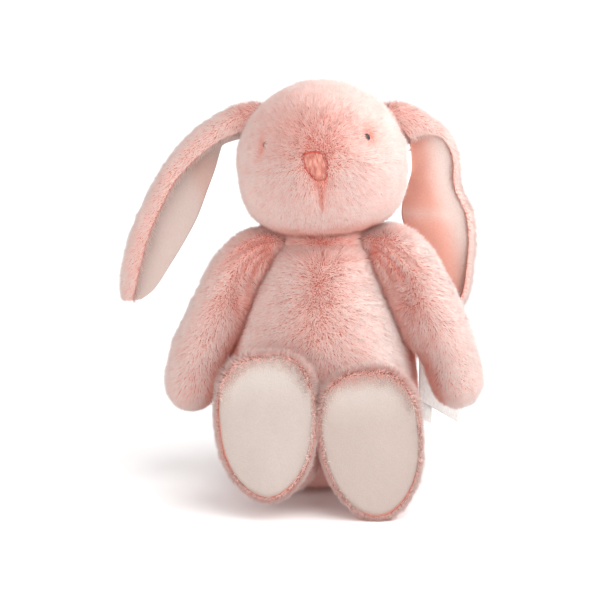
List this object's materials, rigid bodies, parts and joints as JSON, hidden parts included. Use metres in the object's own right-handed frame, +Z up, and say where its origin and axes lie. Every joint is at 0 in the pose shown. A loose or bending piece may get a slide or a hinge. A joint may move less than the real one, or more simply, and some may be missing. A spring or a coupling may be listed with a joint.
{
  "type": "stuffed bunny rabbit",
  "caption": "Seated plush bunny with a round weighted body, floppy lined ears, stubby arms and legs with velour soles, and a jointed head, ears, arms, legs and tail.",
  "frame": {"origin": "middle of the bounding box at the plane the bunny sits on", "axes": "+Z up through the head, -Y the way the bunny faces, +X the bunny's own left side"},
  "size_m": [0.1818, 0.1685, 0.199],
  "materials": {
    "pink_plush": "short pile",
    "cream_velour": "velour",
    "coral_thread": "satin thread",
    "bead_black": "gloss",
    "washer_plastic": "matt",
    "white_satin": "woven satin",
    "pouch_cloth": "plain woven cloth",
    "pellets": "matt",
    "filling": "loose fibre"
  },
  "bodies": {
    "torso": {"body_front_panel": "pink_plush", "body_back_panel": "pink_plush", "body_stuffing": "filling", "pellet_pouch": "pouch_cloth", "pellet_fill": "pellets", "closing_seam_thread": "coral_thread", "hip_left_thread": "coral_thread", "hip_right_thread": "coral_thread", "tail_seam_thread": "coral_thread"},
    "neck": {"neck_stuffing": "filling", "neck_seam_thread": "coral_thread"},
    "head": {"head_front_panel": "pink_plush", "head_back_panel": "pink_plush", "head_stuffing": "filling", "eye_left": "bead_black", "eye_right": "bead_black", "eye_washer_left": "washer_plastic", "eye_washer_right": "washer_plastic", "nose_embroidery": "coral_thread", "mouth_stitch": "coral_thread", "ear_left_seam_thread": "coral_thread", "ear_right_seam_thread": "coral_thread"},
    "ear_left": {"ear_left_plush": "pink_plush", "ear_left_lining": "cream_velour"},
    "ear_right": {"ear_right_plush": "pink_plush", "ear_right_lining": "cream_velour"},
    "arm_left": {"arm_left_front_panel": "pink_plush", "arm_left_back_panel": "pink_plush", "arm_left_stuffing": "filling", "shoulder_left_thread": "coral_thread"},
    "arm_right": {"arm_right_front_panel": "pink_plush", "arm_right_back_panel": "pink_plush", "arm_right_stuffing": "filling", "shoulder_right_thread": "coral_thread"},
    "leg_left": {"leg_left_outer_panel": "pink_plush", "leg_left_inner_panel": "pink_plush", "leg_left_stuffing": "filling", "sole_left": "cream_velour", "sole_left_thread": "coral_thread"},
    "leg_right": {"leg_right_outer_panel": "pink_plush", "leg_right_inner_panel": "pink_plush", "leg_right_stuffing": "filling", "sole_right": "cream_velour", "sole_right_thread": "coral_thread"},
    "tail": {"tail_cover": "pink_plush", "tail_stuffing": "filling"},
    "labels": {"care_label": "white_satin", "size_label": "white_satin"}
  },
  "joints": [
    {"name": "neck_turn", "type": "hinge", "parent": "torso", "child": "neck", "pos_m": [0.01371, 0.0036, 0.1228], "axis": [-0.0785, 0, 0.9969], "range_deg": [-12, 30]},
    {"name": "head_nod", "type": "hinge", "parent": "neck", "child": "head", "pos_m": [0.01371, 0.0036, 0.1228], "axis": [1, 0, 0], "range_deg": [-6, 6], "stiffness_Nm_per_rad": 0.4},
    {"name": "ear_left_lift", "type": "hinge", "parent": "head", "child": "ear_left", "pos_m": [0.0425, 0.0076, 0.1885], "axis": [0, -1, 0], "range_deg": [0, 45], "stiffness_Nm_per_rad": 0.05},
    {"name": "ear_right_lift", "type": "hinge", "parent": "head", "child": "ear_right", "pos_m": [-0.0195, 0.0076, 0.1885], "axis": [0, 1, 0], "range_deg": [0, 45], "stiffness_Nm_per_rad": 0.05},
    {"name": "arm_left_swing", "type": "hinge", "parent": "torso", "child": "arm_left", "pos_m": [0.039, -0.0009, 0.118], "axis": [-1, 0, 0], "range_deg": [-5, 80]},
    {"name": "arm_right_swing", "type": "hinge", "parent": "torso", "child": "arm_right", "pos_m": [-0.017, -0.0009, 0.118], "axis": [-1, 0, 0], "range_deg": [-5, 80]},
    {"name": "leg_left_swing", "type": "hinge", "parent": "torso", "child": "leg_left", "pos_m": [0.034, -0.0329, 0.024], "axis": [1, 0, 0], "range_deg": [-5, 25]},
    {"name": "leg_right_swing", "type": "hinge", "parent": "torso", "child": "leg_right", "pos_m": [-0.006, -0.0329, 0.026], "axis": [1, 0, 0], "range_deg": [-5, 25]},
    {"name": "tail_wag", "type": "hinge", "parent": "torso", "child": "tail", "pos_m": [0.011, 0.0542, 0.027], "axis": [0, 0, 1], "range_deg": [-12, 12]},
    {"name": "label_flap", "type": "hinge", "parent": "torso", "child": "labels", "pos_m": [0.0594, 0.015, 0.048], "axis": [0, 0, 1], "range_deg": [-5, 30]}
  ]
}
